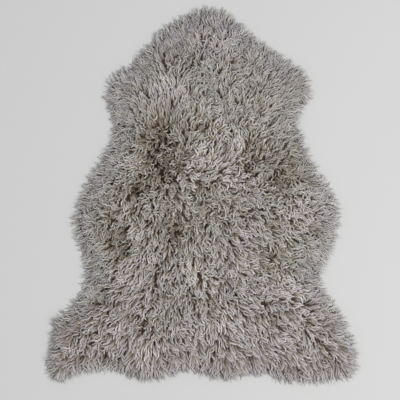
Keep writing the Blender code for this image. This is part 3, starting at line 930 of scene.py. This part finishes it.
# %% Grow the wisps
WISP_COUNT, WISP_STEPS = 1700, 7
WISP_REACH = 0.86  # how far over the floor a wisp of length 1 reaches
PALEST_FROM = 6  # the darker tones of each family are left to the locks
wisp_roots = inset_loop(38 * MM, WISP_COUNT) + rng.uniform(-7 * MM, 7 * MM, (WISP_COUNT, 2))
wisp_bearing = toward_rim(wisp_roots, combed(wisp_roots)[0], np.full(WISP_COUNT, 0.5))
wisp_bearing += rng.normal(0, math.radians(16), WISP_COUNT)
wisp_room = room_ahead(wisp_roots, wisp_bearing)
wisp_over = rng.uniform(-8 * MM, 9 * MM, WISP_COUNT)  # past the outline, or short of it
wisp_length = np.clip((wisp_room + wisp_over) / WISP_REACH, 15 * MM, 62 * MM)
wisp_paths = lock_paths(
    np.column_stack([wisp_roots, rng.uniform(5 * MM, 12 * MM, WISP_COUNT)]),
    wisp_bearing, wisp_length, np.radians(rng.uniform(5, 35, WISP_COUNT)),
    np.radians(rng.uniform(-32, -5, WISP_COUNT)), rng.normal(0, 0.4, WISP_COUNT),
    rng.uniform(0.15, 0.5, WISP_COUNT), rng.uniform(16 * MM, 26 * MM, WISP_COUNT),
    rng.uniform(0, 6.28, WISP_COUNT), WISP_STEPS,
)
wisp_paths[..., 2] = np.maximum(wisp_paths[..., 2], rng.uniform(0.8 * MM, 5 * MM, (WISP_COUNT, 1)))
wisp_tone = rng.integers(0, 2, WISP_COUNT) * tones_in_family
wisp_tone = wisp_tone + rng.integers(PALEST_FROM, tones_in_family, WISP_COUNT)
wisps = lock_mesh(
    "wool_wisps", wisp_paths, rng.uniform(2.8 * MM, 4.8 * MM, WISP_COUNT), wisp_tone,
    rng.normal(0, 0.3, WISP_COUNT), np.full(WISP_COUNT, 0.4), np.ones(WISP_COUNT),
)
wool_pieces.append(wisps)

# %% [markdown]
# ## The wool's finish
#
# Undyed long wool is matt, with a faint sheen from the scales of its fibres. A lock has the tone of
# its family and is paler towards its tip, where light and air have bleached it. Its map gives both:
# the column is the tone and the row is the way to the tip. Its two sides are darker with painted
# shade, where it sinks between its neighbours. The fibres are far too fine to show, so the streaks
# along a lock are drawn about a millimetre wide.

# %% Tones and bleached tips
wool = bpy.data.materials.new("natural long wool")
wool.use_nodes = True
shader = wool.node_tree.nodes["Principled BSDF"]
shader.inputs["Roughness"].default_value = 0.9
shader.inputs["Specular IOR Level"].default_value = 0.25
shader.inputs["Sheen Weight"].default_value = 0.25
shader.inputs["Sheen Roughness"].default_value = 0.5
chart = add_node(wool, "ShaderNodeUVMap", {"uv_map": "OFBake"})
parts = add_node(wool, "ShaderNodeSeparateXYZ", links=[("Vector", chart, "UV")])


def set_ramp(node, stops):
    """Gives a colour ramp these stops of place and hex colour."""
    elements = node.color_ramp.elements
    for place, colour in stops[2:]:
        elements.new(place)
    for element, (place, colour) in zip(elements, sorted(stops)):
        element.position = place
        element.color = linear(colour)


tones = add_node(wool, "ShaderNodeValToRGB", links=[("Fac", parts, "X")])
set_ramp(tones, [
    (0.0, "#aba5a8"), (0.333, "#e9e4e7"),
    (0.334, "#a6a39e"), (0.666, "#e4e2de"),
    (0.667, "#877d70"), (1.0, "#dad3c9"),
])
bleach = add_node(wool, "ShaderNodeValToRGB", links=[("Fac", parts, "Y")])
set_ramp(bleach, [(0.0, "#6a543e"), (0.25, "#a08e78"), (0.5, "#ded7cd"), (0.8, "#ffffff")])
MIX_FACTOR, MIX_A, MIX_B, MIX_RESULT = 0, 6, 7, 2  # a colour Mix node's sockets, by number
toned = add_node(
    wool, "ShaderNodeMix", {"data_type": "RGBA", "blend_type": "MULTIPLY"},
    {MIX_FACTOR: 1.0}, [(MIX_A, tones, "Color"), (MIX_B, bleach, "Color")],
)

# %% Streaks, painted shade on the sides, and relief
# six waves of noise for each tone's column, half of which a lock of 7 mm is wide, and five along it
fibres = add_node(
    wool, "ShaderNodeMapping", inputs={"Scale": (TONES * 6, 5, 1)},
    links=[("Vector", chart, "UV")],
)
streaks = add_node(
    wool, "ShaderNodeTexNoise", inputs={"Scale": 1.0, "Detail": 2.0},
    links=[("Vector", fibres, "Vector")],
)
streak_tone = add_node(
    wool, "ShaderNodeMapRange",
    inputs={"From Min": 0.3, "From Max": 0.7, "To Min": 0.78, "To Max": 1.08},
    links=[("Value", streaks, "Fac")],
)
column = add_node(
    wool, "ShaderNodeMath", {"operation": "MULTIPLY"}, {1: float(TONES)}, [(0, parts, "X")]
)
across = add_node(wool, "ShaderNodeMath", {"operation": "FRACT"}, links=[(0, column, "Value")])
# painted shade: each lock is darker towards its two sides, where it sinks between its neighbours
painted_side_shade = add_node(wool, "ShaderNodeValToRGB", links=[("Fac", across, "Value")])
set_ramp(painted_side_shade, [
    (0.25, "#beb7ad"), (0.36, "#f0eee9"), (0.5, "#ffffff"), (0.64, "#f0eee9"), (0.75, "#beb7ad"),
])
# the lock's tone times its painted side shade
rounded = add_node(
    wool, "ShaderNodeMix", {"data_type": "RGBA", "blend_type": "MULTIPLY"},
    {MIX_FACTOR: 1.0}, [(MIX_A, toned, MIX_RESULT), (MIX_B, painted_side_shade, "Color")],
)
streaked = add_node(
    wool, "ShaderNodeVectorMath", {"operation": "SCALE"},
    links=[("Vector", rounded, MIX_RESULT), ("Scale", streak_tone, "Result")],
)
fibre_relief = add_node(
    wool, "ShaderNodeBump", inputs={"Strength": 0.35, "Distance": 0.4 * MM},
    links=[("Height", streaks, "Fac")],
)
wool.node_tree.links.new(streaked.outputs["Vector"], shader.inputs["Base Color"])
wool.node_tree.links.new(fibre_relief.outputs["Normal"], shader.inputs["Normal"])

# %% [markdown]
# ## The finish of the undercoat and of the skin
#
# The undercoat is the same wool, short and dense, so it is the brown of the locks' roots with a
# felted grain of 3 mm, made darker with painted shade for lying out of the light. Painted shade
# makes it darker still in its pits, and painted light makes it paler at the rim. The flesh side of
# the skin is tanned leather, buffed to a matt suede: an uneven buff tone with a fine nap.

# %% Undercoat material
dense = bpy.data.materials.new("dense brown undercoat wool with painted shade")
dense.use_nodes = True
shader = dense.node_tree.nodes["Principled BSDF"]
shader.inputs["Roughness"].default_value = 0.95
shader.inputs["Specular IOR Level"].default_value = 0.1
place = add_node(dense, "ShaderNodeTexCoord")
felt = add_node(
    dense, "ShaderNodeTexNoise", inputs={"Scale": 1 / (3 * MM) / 2, "Detail": 3.0},
    links=[("Vector", place, "Object")],
)
felt_tone_with_painted_shade = add_node(dense, "ShaderNodeValToRGB", links=[("Fac", felt, "Fac")])
# dark brown: the felt's own colour with painted shade in it
set_ramp(felt_tone_with_painted_shade, [(0.3, "#35291f"), (0.7, "#5f4c3b")])
# painted shade in the pits and painted light at the rim, read from the shade value
shade_value = add_node(dense, "ShaderNodeAttribute", {"attribute_name": "shade"})
pit_shade_and_rim_light = add_node(
    dense, "ShaderNodeMapRange",
    inputs={"From Min": -1.0, "From Max": 0.9, "To Min": 1.25, "To Max": 0.3},
    links=[("Value", shade_value, "Fac")],
)
felt_with_painted_shade_and_light = add_node(
    dense, "ShaderNodeVectorMath", {"operation": "SCALE"},
    links=[("Vector", felt_tone_with_painted_shade, "Color"), ("Scale", pit_shade_and_rim_light, "Result")],
)
felt_relief = add_node(
    dense, "ShaderNodeBump", inputs={"Strength": 0.8, "Distance": 2 * MM},
    links=[("Height", felt, "Fac")],
)
dense.node_tree.links.new(felt_with_painted_shade_and_light.outputs["Vector"], shader.inputs["Base Color"])
dense.node_tree.links.new(felt_relief.outputs["Normal"], shader.inputs["Normal"])

# %% Leather material
leather = bpy.data.materials.new("buffed flesh side of a tanned skin")
leather.use_nodes = True
shader = leather.node_tree.nodes["Principled BSDF"]
shader.inputs["Roughness"].default_value = 0.85
shader.inputs["Specular IOR Level"].default_value = 0.3
shader.inputs["Sheen Weight"].default_value = 0.15
place = add_node(leather, "ShaderNodeTexCoord")
clouds = add_node(
    leather, "ShaderNodeTexNoise", inputs={"Scale": 1 / (80 * MM), "Detail": 4.0},
    links=[("Vector", place, "Object")],
)
hide_tone = add_node(leather, "ShaderNodeValToRGB", links=[("Fac", clouds, "Fac")])
set_ramp(hide_tone, [(0.3, "#d3c0a2"), (0.7, "#e9dcc6")])
nap = add_node(
    leather, "ShaderNodeTexNoise", inputs={"Scale": 1 / (1.2 * MM), "Detail": 3.0},
    links=[("Vector", place, "Object")],
)
nap_relief = add_node(
    leather, "ShaderNodeBump", inputs={"Strength": 0.4, "Distance": 0.3 * MM},
    links=[("Height", nap, "Fac")],
)
leather.node_tree.links.new(hide_tone.outputs["Color"], shader.inputs["Base Color"])
leather.node_tree.links.new(nap_relief.outputs["Normal"], shader.inputs["Normal"])

# %% Dress the pieces
skin.data.materials.append(leather)
undercoat.data.materials.append(dense)
for piece in wool_pieces:
    piece.data.materials.append(wool)

# %% [markdown]
# ## Every piece stands for the rug
#
# The pieces all lie on the one body of the rug, and together they stand for its single solid.

# %% Join the pieces to the model
for piece in (skin, undercoat, *wool_pieces):
    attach(piece, "root")
    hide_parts("sheepskin")

# %% [markdown]
# ## The size
#
# The box of the fleece and the box of the solid that it replaces are kept side by side and
# printed.

# %% Both sizes, side by side
visual_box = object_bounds()
boxes = {"cad": cad_box, "visual": visual_box}
sizes = {name: [list(corner) for corner in box] for name, box in boxes.items()}
for name, corners in sizes.items():
    print(name, [[round(value / MM) for value in corner] for corner in corners])
